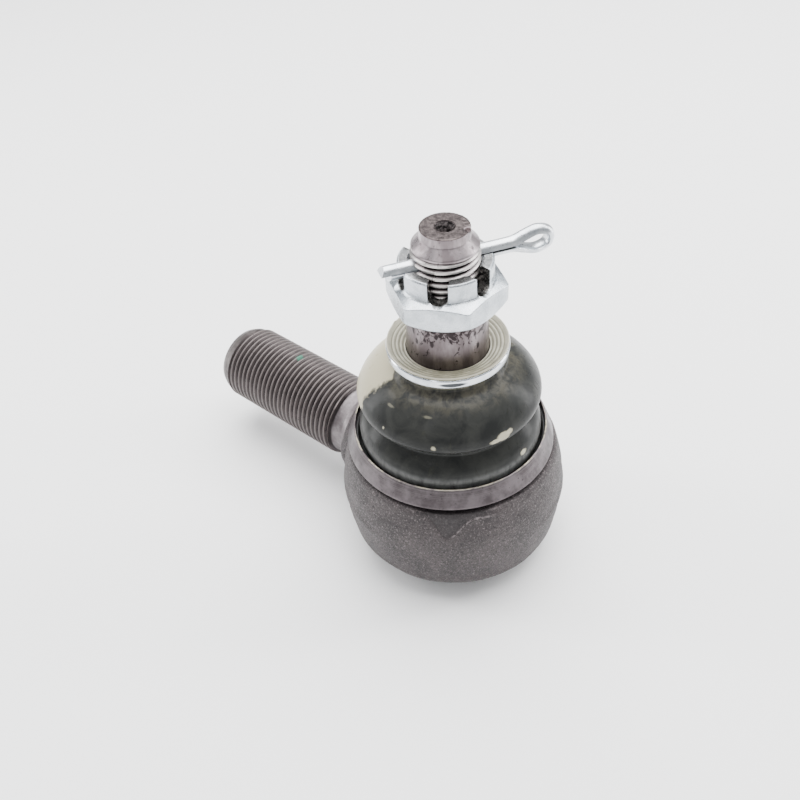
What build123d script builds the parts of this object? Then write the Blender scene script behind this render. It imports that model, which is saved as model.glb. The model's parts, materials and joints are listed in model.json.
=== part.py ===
"""Tie rod end: a forged housing with a threaded shank, a sealed ball stud, its dust boot, a castle nut and a split pin.

Every function works in a frame whose origin is the ball's centre, with +Z along the upright stud and +X along the
shank. The written parts are lifted so that Z = 0 is the resting face under the ball.
"""

from build123d import *
import math
import os

# Frame
BALL_HEIGHT = 17.5  # ball centre above the resting face

# Shank thread, M20 x 1.5
SHANK_RADIUS = 10.0
SHANK_PITCH = 1.5
SHANK_CRESTS = 25
SHANK_LAST_CREST = 68.4  # centre of the outermost crest, from the stud axis
SHANK_NECK_RADIUS = 8.8
SHANK_TIP = 72.8
SHANK_TIP_RADIUS = 8.1

# Ball stud, M14 x 1.5 above a 1:10 taper
BALL_RADIUS = 12.5
NECK_RADIUS = 7.2
NECK_TOP = 15.5
TAPER_START = 26.5
TAPER_END = 52.0
TAPER_END_RADIUS = 8.3
TAPER_HALF_SLOPE = 0.05  # radius lost per millimetre of height
STUD_RADIUS = 7.0
STUD_PITCH = 1.5
STUD_CRESTS = 9
STUD_LAST_CREST = 64.8
STUD_PLAIN_RADIUS = 6.85
STUD_DOG_RADIUS = 5.1
STUD_TIP = 69.8
CENTRE_DRILL_RADIUS = 2.1
CENTRE_PILOT_RADIUS = 0.9
CROSS_HOLE_RADIUS = 1.8

# Castle nut, thin form, 22 mm across flats
NUT_ACROSS_FLATS = 22.0
NUT_HEX_TOP = 58.0
NUT_TOP = 63.0
NUT_CASTLE_RADIUS = 9.7
NUT_FACE_RADIUS = 10.6
NUT_SLOT_WIDTH = 4.0
NUT_SLOT_TIP = 57.7
THREAD_PLAY = 0.1

# Split pin, laid through one pair of slots
PIN_AZIMUTH = -121.4  # degrees from the shank to the eye end, about +Z
PIN_HEIGHT = 62.0
PIN_RADIUS = 1.55
PIN_SLIT = 0.06  # half the gap between the two legs
PIN_TIP = -13.2
PIN_SHORT_TIP = -11.8
PIN_EYE_START = 12.5
PIN_EYE_WIDEST = 18.6
PIN_EYE_END = 21.2
PIN_EYE_HALF_HEIGHT = 1.4

# Housing
BORE_RADIUS = 15.5
BORE_TOP = 9.0
OPENING_RADIUS = 11.2
OPENING_MOUTH_RADIUS = 12.3
POCKET_FLOOR = 13.2
POCKET_RADIUS = 21.6
RIM_TOP = 18.5
RIM_TOP_WIDTH = 0.35
RIM_FOOT_RADIUS = 23.75
RIM_FOOT = 14.1
RING_GROOVE_RADIUS = 22.05
RING_GROOVE = (15.1, 16.9)
FORGING_OFFSET = 0.5  # forging sits this far off the machined axis, away from the shank
FORGING_RADIUS = 26.2
FORGING_WIDEST = 2.5
FORGING_FOOT = -12.5
FORGING_FOOT_RADIUS = 20.8
FORGING_CORNER = 4.3
BOSS_RADIUS = 18.6
BOSS_FOOT_RADIUS = 17.4
COVER_RECESS_RADIUS = 16.6
COVER_RECESS = -14.3
LIP_RADIUS = 15.0
LIP_THICKNESS = 1.2

# Ball bearing
BALL_PLAY = 0.08
SEAT_PLAY = 0.05
SEAT_SPLIT = -2.5
SEAT_GAP = 0.6
SEAT_MOUTH = 7.0
PAD_CROWN = -14.1
PAD_CROWN_RADIUS = 7.5
PAD_SHELF = -12.1

# Boot and its rings
BOOT_WALL = 1.3
SNAP_RING_WIDTH = 1.15
TOP_RING_RADIUS = 13.25
TOP_RING = (38.9, 40.95)


def up(x, z):
    """Point of an outline drawn in the XZ plane."""
    return (x, 0, z)


def polygon(*points):
    """Face inside a closed run of straight lines in the XZ plane."""
    return make_face(Polyline(*[up(*p) for p in points], close=True))


def turned(*faces):
    """Solid swept once round the Z axis by faces that lie in the XZ plane."""
    return Part() + [revolve(face, Axis.Z, 360) for face in faces]


def taper_radius(z):
    return TAPER_END_RADIUS + (TAPER_END - z) * TAPER_HALF_SLOPE


def thread_outline(radius, pitch, crests, last_crest, play=0.0):
    """Outline of annular V grooves from the lowest crest to the highest, as (radius, height) pairs."""
    flat = pitch / 16
    flank = pitch * 5 / 16
    root = radius - 0.613 * pitch + play
    crest = radius + play
    first = last_crest - (crests - 1) * pitch
    points = []
    for turn in range(crests):
        centre = first + turn * pitch
        points += [(root, centre - flat - flank), (crest, centre - flat)]
        points += [(crest, centre + flat), (root, centre + flat + flank)]
    return points


def shank():
    """Threaded rod with a smooth neck and a turned point, along +X."""
    thread = thread_outline(SHANK_RADIUS, SHANK_PITCH, SHANK_CRESTS, SHANK_LAST_CREST)
    start = thread[0][1]
    tip = [(9.5, 69.7), (9.3, 70.8), (SHANK_TIP_RADIUS + 0.5, 72.4), (SHANK_TIP_RADIUS, SHANK_TIP), (0, SHANK_TIP)]
    neck = [(0, 18.0), (12.5, 18.0), (12.6, 24.0), (10.9, 26.3), (SHANK_NECK_RADIUS + 0.5, 27.2),
            (SHANK_NECK_RADIUS, start - 1.5)]
    return Rot(0, 90, 0) * turned(polygon(*neck, (SHANK_NECK_RADIUS, start), *thread, *tip))


def forging():
    """Rough drop-forged cup, fullest just above the shank's axis."""
    left = -FORGING_OFFSET
    side = Line(up(left, FORGING_FOOT), up(left + FORGING_FOOT_RADIUS, FORGING_FOOT))
    round_off = FORGING_CORNER * math.sqrt(0.5)
    middle = up(left + FORGING_FOOT_RADIUS + round_off, FORGING_FOOT + FORGING_CORNER - round_off)
    corner_top = up(left + FORGING_FOOT_RADIUS + FORGING_CORNER, FORGING_FOOT + FORGING_CORNER)
    corner = ThreePointArc(side @ 1, middle, corner_top)
    flank = ThreePointArc(corner @ 1, up(left + FORGING_RADIUS, FORGING_WIDEST), up(left + 24.4, 12.2))
    top = Polyline(flank @ 1, up(left + 22.0, 13.6), up(left, 13.6), side @ 0)
    face = make_face([side, corner, flank, top])
    return revolve(face, Axis((left, 0, 0), (0, 0, 1)), 360)


def housing():
    """Forged and turned body with the shank, the bore for the ball and the pocket for the boot."""
    boss = polygon((0, -12.0), (BOSS_RADIUS, -12.0), (BOSS_RADIUS, -15.6), (BOSS_FOOT_RADIUS, -BALL_HEIGHT),
                   (0, -BALL_HEIGHT))
    rim = polygon((0, 12.0), (22.9, 12.0), (22.9, RIM_FOOT - 0.5), (RIM_FOOT_RADIUS, RIM_FOOT),
                  (POCKET_RADIUS + RIM_TOP_WIDTH, RIM_TOP), (0, RIM_TOP))
    body = forging() + shank() + turned(boss, rim)
    cavity = polygon((0, -BALL_HEIGHT), (LIP_RADIUS, -BALL_HEIGHT), (LIP_RADIUS, -BALL_HEIGHT + LIP_THICKNESS),
                     (COVER_RECESS_RADIUS, -BALL_HEIGHT + LIP_THICKNESS), (COVER_RECESS_RADIUS, COVER_RECESS),
                     (BORE_RADIUS, COVER_RECESS), (BORE_RADIUS, BORE_TOP), (OPENING_RADIUS, BORE_TOP),
                     (OPENING_MOUTH_RADIUS, POCKET_FLOOR), (POCKET_RADIUS, POCKET_FLOOR),
                     (POCKET_RADIUS, RING_GROOVE[0]), (RING_GROOVE_RADIUS, RING_GROOVE[0]),
                     (RING_GROOVE_RADIUS, RING_GROOVE[1]), (POCKET_RADIUS, RING_GROOVE[1]),
                     (POCKET_RADIUS, RIM_TOP), (0, RIM_TOP))
    return body - turned(cavity)


def cover_plate():
    """Pressed steel disc held by the rolled lip, with a shallow dish in its middle."""
    low = -BALL_HEIGHT + LIP_THICKNESS
    radius = COVER_RECESS_RADIUS - SEAT_PLAY
    return turned(polygon((0, low + 0.3), (6.0, low + 0.3), (6.8, low), (radius, low), (radius, COVER_RECESS),
                          (0, COVER_RECESS)))


def preload_spring():
    """Coned disc spring between the cover and the lower seat."""
    low = COVER_RECESS
    high = PAD_SHELF
    thick = 0.9
    return turned(polygon((14.9, low), (14.9, low + thick), (9.4, high), (8.4, high), (8.4, high - thick),
                          (13.9, low)))


def ball_hollow():
    return Sphere(BALL_RADIUS + BALL_PLAY)


def lower_ball_seat():
    """Plastic pad under the ball, stepped for the spring."""
    radius = BORE_RADIUS - SEAT_PLAY
    top = SEAT_SPLIT - SEAT_GAP / 2
    blank = turned(polygon((0, PAD_CROWN), (PAD_CROWN_RADIUS, PAD_CROWN), (PAD_CROWN_RADIUS, PAD_SHELF),
                           (radius, PAD_SHELF), (radius, top), (0, top)))
    return blank - ball_hollow()


def upper_ball_seat():
    """Plastic seat above the ball, open for the stud to lean."""
    radius = BORE_RADIUS - SEAT_PLAY
    low = SEAT_SPLIT + SEAT_GAP / 2
    top = BORE_TOP - SEAT_PLAY
    mouth = 10.45
    blank = turned(polygon((0, low), (radius, low), (radius, top), (0, top)))
    opening = turned(polygon((0, SEAT_MOUTH), (mouth, SEAT_MOUTH), (OPENING_RADIUS + 0.1, top), (0, top)))
    return blank - ball_hollow() - opening


def ball_stud():
    """Ball, waisted neck, taper, thread and turned point, with a cross hole and a centre drilling."""
    junction = math.sqrt(BALL_RADIUS ** 2 - NECK_RADIUS ** 2)
    ball = ThreePointArc(up(0, -BALL_RADIUS), up(BALL_RADIUS, 0), up(NECK_RADIUS, junction))
    neck = Line(ball @ 1, up(NECK_RADIUS, NECK_TOP))
    flare = Spline(neck @ 1, up(taper_radius(TAPER_START), TAPER_START),
                   tangents=[(0, 0, 1), (-TAPER_HALF_SLOPE, 0, 1)])
    thread = thread_outline(STUD_RADIUS, STUD_PITCH, STUD_CRESTS, STUD_LAST_CREST)
    shoulder = thread[0][0]
    climb = [(TAPER_END_RADIUS, TAPER_END), (shoulder, TAPER_END), *thread]
    point = [(STUD_PLAIN_RADIUS, 65.65), (STUD_PLAIN_RADIUS, 66.0), (STUD_DOG_RADIUS, 67.8),
             (STUD_DOG_RADIUS, STUD_TIP - 0.2), (STUD_DOG_RADIUS - 0.2, STUD_TIP)]
    drilling = [(CENTRE_DRILL_RADIUS, STUD_TIP), (CENTRE_PILOT_RADIUS, STUD_TIP - 2.1),
                (CENTRE_PILOT_RADIUS, STUD_TIP - 4.0), (0, STUD_TIP - 4.0), (0, -BALL_RADIUS)]
    rest = Polyline(flare @ 1, *[up(*p) for p in climb + point + drilling])
    body = turned(make_face([ball, neck, flare, rest]))
    hole = Pos(0, 0, PIN_HEIGHT) * Rot(0, 0, PIN_AZIMUTH) * Rot(0, 90, 0) * Cylinder(CROSS_HOLE_RADIUS, 20)
    return body - hole


def castle_nut():
    """Hexagon with chamfered corners and a slotted crown, threaded to match the stud."""
    flats = NUT_ACROSS_FLATS / 2
    corners = flats / math.cos(math.pi / 6)
    height = NUT_HEX_TOP - TAPER_END
    hexagon = extrude(RegularPolygon(corners, 6, rotation=30), height)
    hexagon = Pos(0, 0, TAPER_END) * hexagon
    rounds = turned(polygon((0, TAPER_END), (NUT_FACE_RADIUS, TAPER_END), (corners + 0.1, TAPER_END + 1.55),
                            (corners + 0.1, 57.2), (NUT_CASTLE_RADIUS + 0.6, NUT_HEX_TOP), (0, NUT_HEX_TOP)))
    crown = turned(polygon((0, NUT_HEX_TOP - 1), (NUT_CASTLE_RADIUS, NUT_HEX_TOP - 1),
                           (NUT_CASTLE_RADIUS, NUT_TOP - 0.4), (NUT_CASTLE_RADIUS - 0.4, NUT_TOP), (0, NUT_TOP)))
    thread = thread_outline(STUD_RADIUS, STUD_PITCH, STUD_CRESTS, STUD_LAST_CREST, THREAD_PLAY)
    bore = turned(polygon((0, TAPER_END), (thread[0][0], TAPER_END), *thread, (0, thread[-1][1])))
    nut = (hexagon & rounds) + crown - bore
    round_bottom = NUT_SLOT_TIP + NUT_SLOT_WIDTH / 2
    for turn in range(3):
        slot = Pos(0, 0, (round_bottom + NUT_TOP + 1) / 2) * Box(30, NUT_SLOT_WIDTH, NUT_TOP + 1 - round_bottom)
        slot += Pos(0, 0, round_bottom) * Rot(0, 90, 0) * Cylinder(NUT_SLOT_WIDTH / 2, 30)
        nut -= Rot(0, 0, 60 * turn) * slot
    return Rot(0, 0, PIN_AZIMUTH) * nut


def split_pin():
    """Half-round wire folded into two touching legs with an eye at the fold."""
    eye = Spline(up(PIN_EYE_START, PIN_SLIT), up(PIN_EYE_WIDEST, PIN_EYE_HALF_HEIGHT), up(PIN_EYE_END, 0),
                 up(PIN_EYE_WIDEST, -PIN_EYE_HALF_HEIGHT), up(PIN_EYE_START, -PIN_SLIT),
                 tangents=[(1, 0, 0), (-1, 0, 0)])
    upper = Line(up(PIN_TIP, PIN_SLIT), eye @ 0)
    lower = Line(eye @ 1, up(PIN_SHORT_TIP, -PIN_SLIT))
    half_round = Plane(origin=upper @ 0, x_dir=(0, 1, 0), z_dir=(1, 0, 0)) * make_face(
        [Line((-PIN_RADIUS, 0), (PIN_RADIUS, 0)), ThreePointArc((-PIN_RADIUS, 0), (0, PIN_RADIUS), (PIN_RADIUS, 0))])
    wire = sweep(half_round, Wire([upper, eye, lower]))
    return Pos(0, 0, PIN_HEIGHT) * Rot(0, 0, PIN_AZIMUTH) * wire


def boot_edge(inset):
    """Outer edge of the bellows from its foot to its neck, moved inwards by inset."""
    lobes = [(20.0, 14.9), (20.5, 17.0), (20.6, 19.2), (17.7, 24.8), (20.4, 28.8), (17.2, 34.2), (12.3, 37.0)]
    return Spline(*[up(r - inset, z) for r, z in lobes])


def dust_boot():
    """Two-lobed bellows with a clamped foot and a ribbed upper lip."""
    outer = boot_edge(0)
    inner = boot_edge(BOOT_WALL)
    neck = [(12.3, 41.0), (13.1, 41.05), (13.1, 41.5), (12.4, 41.5), (9.3, 40.6), (9.3, 37.0),
            (12.3 - BOOT_WALL, 37.0)]
    foot = [(20.0 - BOOT_WALL, 14.9), (17.2, 14.6), (17.2, POCKET_FLOOR + 0.05), (21.3, POCKET_FLOOR + 0.05),
            (21.3, 14.7), (20.0, 14.9)]
    face = make_face([outer, Polyline(outer @ 1, *[up(*p) for p in neck]), inner, Polyline(*[up(*p) for p in foot])])
    return turned(face)


def grease_fill():
    """Grease that fills the bellows round the stud."""
    gap = 0.1
    clear = 0.3
    edge = boot_edge(BOOT_WALL + gap)
    stud = [(NECK_RADIUS + clear, 15.0), (NECK_RADIUS + clear, NECK_TOP), (8.6 + clear, 21.0),
            (taper_radius(TAPER_START) + clear, TAPER_START), (taper_radius(36.9) + clear, 36.9)]
    start = edge @ 0
    end = edge @ 1
    face = make_face([edge, Polyline(end, up(*stud[-1])), Polyline(*[up(*p) for p in stud]),
                      Polyline(up(*stud[0]), start)])
    return turned(face)


def boot_snap_ring():
    """Flat wire ring that holds the boot's foot in the pocket."""
    inner = RING_GROOVE_RADIUS - 0.05 - SNAP_RING_WIDTH
    low = RING_GROOVE[0] + 0.05
    high = RING_GROOVE[1] - 0.05
    outer = RING_GROOVE_RADIUS - 0.05
    return turned(polygon((inner, low + 0.3), (inner + 0.3, low), (outer, low), (outer, high), (inner + 0.3, high),
                          (inner, high - 0.3)))


def boot_top_ring():
    """Rolled sheet ring under the boot's upper lip."""
    low, high = TOP_RING
    inner = 12.35
    return turned(polygon((inner, low), (TOP_RING_RADIUS - 0.5, low), (TOP_RING_RADIUS, low + 0.6),
                          (TOP_RING_RADIUS, high - 0.4), (TOP_RING_RADIUS - 0.3, high), (inner, high)))


def main():
    """Write one STEP file for each named piece."""
    makers = [housing, cover_plate, preload_spring, lower_ball_seat, upper_ball_seat, ball_stud, castle_nut,
              split_pin, dust_boot, grease_fill, boot_snap_ring, boot_top_ring]
    os.makedirs("parts", exist_ok=True)
    for make in makers:
        piece = Pos(0, 0, BALL_HEIGHT) * make()
        export_step(piece, f"parts/{make.__name__}.step")


main()
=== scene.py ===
"""Looks of the tie rod end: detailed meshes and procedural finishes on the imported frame.

Shapes are drawn in millimetres about the ball's centre, with +Z along the stud and +X along the shank, and
moved into the frame when they become pieces.
"""

import json
import math

import bmesh
import bpy
from mathutils import Matrix, Vector, noise


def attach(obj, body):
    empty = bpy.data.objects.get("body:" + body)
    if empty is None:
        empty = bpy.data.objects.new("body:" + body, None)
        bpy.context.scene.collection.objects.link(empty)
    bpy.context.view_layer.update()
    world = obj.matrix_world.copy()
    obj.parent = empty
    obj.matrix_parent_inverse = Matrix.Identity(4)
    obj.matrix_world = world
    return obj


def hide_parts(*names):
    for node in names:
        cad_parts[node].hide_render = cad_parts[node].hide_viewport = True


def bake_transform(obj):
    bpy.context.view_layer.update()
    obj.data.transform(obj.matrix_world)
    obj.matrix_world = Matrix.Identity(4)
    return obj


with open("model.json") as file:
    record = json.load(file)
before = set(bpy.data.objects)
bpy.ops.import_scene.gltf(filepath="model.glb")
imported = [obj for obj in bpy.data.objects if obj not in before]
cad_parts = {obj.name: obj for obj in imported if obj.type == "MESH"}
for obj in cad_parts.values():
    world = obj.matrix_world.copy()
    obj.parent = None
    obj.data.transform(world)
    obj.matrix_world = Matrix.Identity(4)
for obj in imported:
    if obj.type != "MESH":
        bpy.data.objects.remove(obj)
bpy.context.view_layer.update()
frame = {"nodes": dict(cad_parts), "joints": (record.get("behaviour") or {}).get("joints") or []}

MM = 0.001
BALL_CENTRE = Vector(frame["joints"][0]["pos_m"])
TO_FRAME = Matrix.Translation(BALL_CENTRE) @ Matrix.Scale(MM, 4)

HOUSING = "housing_body"
LEAN = "lean_body"
STUD = "stud_body"

# Shapes are in millimetres, and angles about +Z are in degrees from the shank. Only the floor and the lights
# are placed in metres.
VIEW_AZIMUTH = 132.5  # the side the camera stands on

SHANK_RADIUS = 10.0
STUD_RADIUS = 7.0
PITCH = 1.5
THREAD_SEGMENTS = 160  # steps round a thread and round the surfaces that meet it
WELD = 2e-4  # points closer than this become one

NUT_BASE = 52.0
NUT_HEX_TOP = 58.0
NUT_TOP = 62.45
NUT_FLATS = 11.0  # half of the width across flats
NUT_CASTLE_RADIUS = 9.7
NUT_SLOT_HALF = 2.0  # half of a slot's width
NUT_SLOT_TIP = 57.7  # lowest point of a slot

PIN_AZIMUTH = -121.4
PIN_HEIGHT = 62.0

ALONG_X = Matrix.Rotation(math.pi / 2, 4, "Y")  # lays a shape turned about +Z along +X
PIN_TURN = Matrix.Rotation(math.radians(PIN_AZIMUTH), 4, "Z")
PIN_PLACE = Matrix.Translation((0, 0, PIN_HEIGHT)) @ PIN_TURN


# ------------ outlines and meshes

def smoothstep(low, high, value):
    """Smooth ramp from 0 at low to 1 at high, where low may also be the larger."""
    t = min(1, max(0, (value - low) / (high - low)))
    return t * t * (3 - 2 * t)


def arc(centre, radius, start, end, steps):
    """Points of a circle between two angles in degrees."""
    angles = [math.radians(start + (end - start) * step / steps) for step in range(steps + 1)]
    return [(centre[0] + radius * math.cos(a), centre[1] + radius * math.sin(a)) for a in angles]


def rounded(corners, steps=4, closed=False):
    """Outline through (radius, height, corner radius) points, each corner turned into a short arc."""
    outline = []
    count = len(corners)
    for index, (r, z, soft) in enumerate(corners):
        here = Vector((r, z))
        inner = closed or 0 < index < count - 1
        if not inner or soft <= 0:
            outline.append((r, z))
            continue
        before = Vector(corners[index - 1][:2]) - here
        after = Vector(corners[(index + 1) % count][:2]) - here
        reach = soft * math.tan((math.pi - before.angle(after)) / 2)
        reach = min(reach, before.length * 0.48, after.length * 0.48)
        start = here + before.normalized() * reach
        end = here + after.normalized() * reach
        for step in range(steps + 1):
            t = step / steps
            point = start * (1 - t) ** 2 + here * 2 * t * (1 - t) + end * t ** 2
            outline.append((point.x, point.y))
    return outline


def resampled(outline, longest):
    """The same outline with no straight step longer than the given length."""
    result = [outline[0]]
    for start, end in zip(outline, outline[1:]):
        parts = max(1, math.ceil(math.dist(start, end) / longest))
        for part in range(1, parts + 1):
            t = part / parts
            result.append((start[0] + (end[0] - start[0]) * t, start[1] + (end[1] - start[1]) * t))
    return result


def catmull_rom(p, q, r, s, t):
    """Value at t between q and r, which p and s stand beside."""
    square = (2 * p - 5 * q + 4 * r - s) * t ** 2
    cube = (3 * q - p - 3 * r + s) * t ** 3
    return 0.5 * (2 * q + (r - p) * t + square + cube)


def smooth_curve(points, steps):
    """Catmull-Rom curve through points, with the given number of steps between neighbours."""
    ends = [(2 * points[0][0] - points[1][0], 2 * points[0][1] - points[1][1]), *points,
            (2 * points[-1][0] - points[-2][0], 2 * points[-1][1] - points[-2][1])]
    curve = []
    for a, b, c, d in zip(ends, ends[1:], ends[2:], ends[3:]):
        for step in range(steps):
            curve.append(tuple(catmull_rom(p, q, r, s, step / steps) for p, q, r, s in zip(a, b, c, d)))
    curve.append(tuple(points[-1]))
    return curve


def add_lathe(bm, outline, segments=THREAD_SEGMENTS, closed=False, warp=None):
    """Turn an outline about Z. warp(radius, angle, height) may move each point to a new (radius, height)."""
    rings = []
    for r, z in outline:
        if r < 1e-6:
            rings.append([bm.verts.new((0, 0, z))])
            continue
        ring = []
        for step in range(segments):
            angle = 2 * math.pi * step / segments
            radius, height = warp(r, angle, z) if warp else (r, z)
            ring.append(bm.verts.new((radius * math.cos(angle), radius * math.sin(angle), height)))
        rings.append(ring)
    pairs = list(zip(rings, rings[1:]))
    if closed:
        pairs.append((rings[-1], rings[0]))
    for low, high in pairs:
        for step in range(segments):
            after = (step + 1) % segments
            if len(low) == 1:
                bm.faces.new((low[0], high[step], high[after]))
            elif len(high) == 1:
                bm.faces.new((low[step], low[after], high[0]))
            else:
                bm.faces.new((low[step], low[after], high[after], high[step]))


THREAD_DEPTH = 0.6 * PITCH
# One turn as (share of the pitch, share of the depth): crest, flank, root and flank
THREAD_PROFILE = [(-0.15, 0.07), (-0.10, 0.0), (0.10, 0.0), (0.15, 0.07),
                  (0.38, 0.92), (0.44, 1.0), (0.56, 1.0), (0.62, 0.92)]


def add_thread(bm, radius, low, high, start_radius, end_radius, fade):
    """Open tube with a right-hand V thread, which fades into a plain radius at each end."""
    segments = THREAD_SEGMENTS
    turns = math.ceil((high - low) / PITCH) + 4
    rows = []
    for turn in range(turns):
        for part, cut in THREAD_PROFILE:
            row = []
            for step in range(segments):
                height = low + (turn - 2 + part + step / segments) * PITCH
                height = min(max(height, low), high)
                angle = 2 * math.pi * step / segments
                r = radius - THREAD_DEPTH * cut
                r += (start_radius - r) * (1 - smoothstep(0, fade, height - low))
                r += (end_radius - r) * (1 - smoothstep(0, fade, high - height))
                row.append(bm.verts.new((r * math.cos(angle), r * math.sin(angle), height)))
            rows.append(row)
    period = len(THREAD_PROFILE)
    for index in range(len(rows) - 1):
        here, above = rows[index], rows[index + 1]
        for step in range(segments - 1):
            bm.faces.new((here[step], here[step + 1], above[step + 1], above[step]))
        if index + period + 1 < len(rows):
            bm.faces.new((here[-1], rows[index + period][0], rows[index + period + 1][0], above[-1]))
    tiny = 1e-5
    bmesh.ops.remove_doubles(bm, verts=bm.verts, dist=tiny)
    bmesh.ops.dissolve_degenerate(bm, edges=bm.edges, dist=tiny)


def join_bmesh(target, source):
    """Copy a bmesh into another and free it."""
    mesh = bpy.data.meshes.new("joined")
    source.to_mesh(mesh)
    source.free()
    target.from_mesh(mesh)
    bpy.data.meshes.remove(mesh)


def mesh_object(name, bm, matrix=Matrix.Identity(4)):
    """Plain object from a bmesh, which it frees."""
    bmesh.ops.remove_doubles(bm, verts=bm.verts, dist=WELD)
    bmesh.ops.recalc_face_normals(bm, faces=bm.faces)
    bm.transform(matrix)
    mesh = bpy.data.meshes.new(name)
    bm.to_mesh(mesh)
    bm.free()
    piece = bpy.data.objects.new(name, mesh)
    bpy.context.scene.collection.objects.link(piece)
    return piece


def turned(name, outline, segments, closed=True, warp=None, matrix=TO_FRAME):
    """Object made by turning one outline about Z."""
    bm = bmesh.new()
    add_lathe(bm, outline, segments, closed, warp)
    return mesh_object(name, bm, matrix)


def apply_modifiers(piece):
    """Bake a piece's modifiers into its mesh."""
    bpy.context.view_layer.update()
    result = bpy.data.meshes.new_from_object(piece.evaluated_get(bpy.context.evaluated_depsgraph_get()))
    piece.modifiers.clear()
    old = piece.data
    piece.data = result
    bpy.data.meshes.remove(old)


def cut_out(piece, tool):
    """Cut a tool object out of a piece, and remove the tool."""
    modifier = piece.modifiers.new("cut", "BOOLEAN")
    modifier.object = tool
    modifier.operation = "DIFFERENCE"
    modifier.solver = "EXACT"
    apply_modifiers(piece)
    bpy.data.objects.remove(tool)


def dress(piece, body, material, nodes, sharp=40):
    """Give a piece its finish, smooth shading, the CAD nodes it stands for and the body it rides on."""
    piece.data.materials.clear()
    piece.data.materials.append(material)
    piece.data.shade_smooth()
    piece.data.set_sharp_from_angle(angle=math.radians(sharp))
    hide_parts(*nodes)
    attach(piece, body)


def polar(azimuth, radius, height):
    """Point at an azimuth in degrees from the shank."""
    angle = math.radians(azimuth)
    return Vector((radius * math.cos(angle), radius * math.sin(angle), height))


# ------------ finishes

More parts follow.
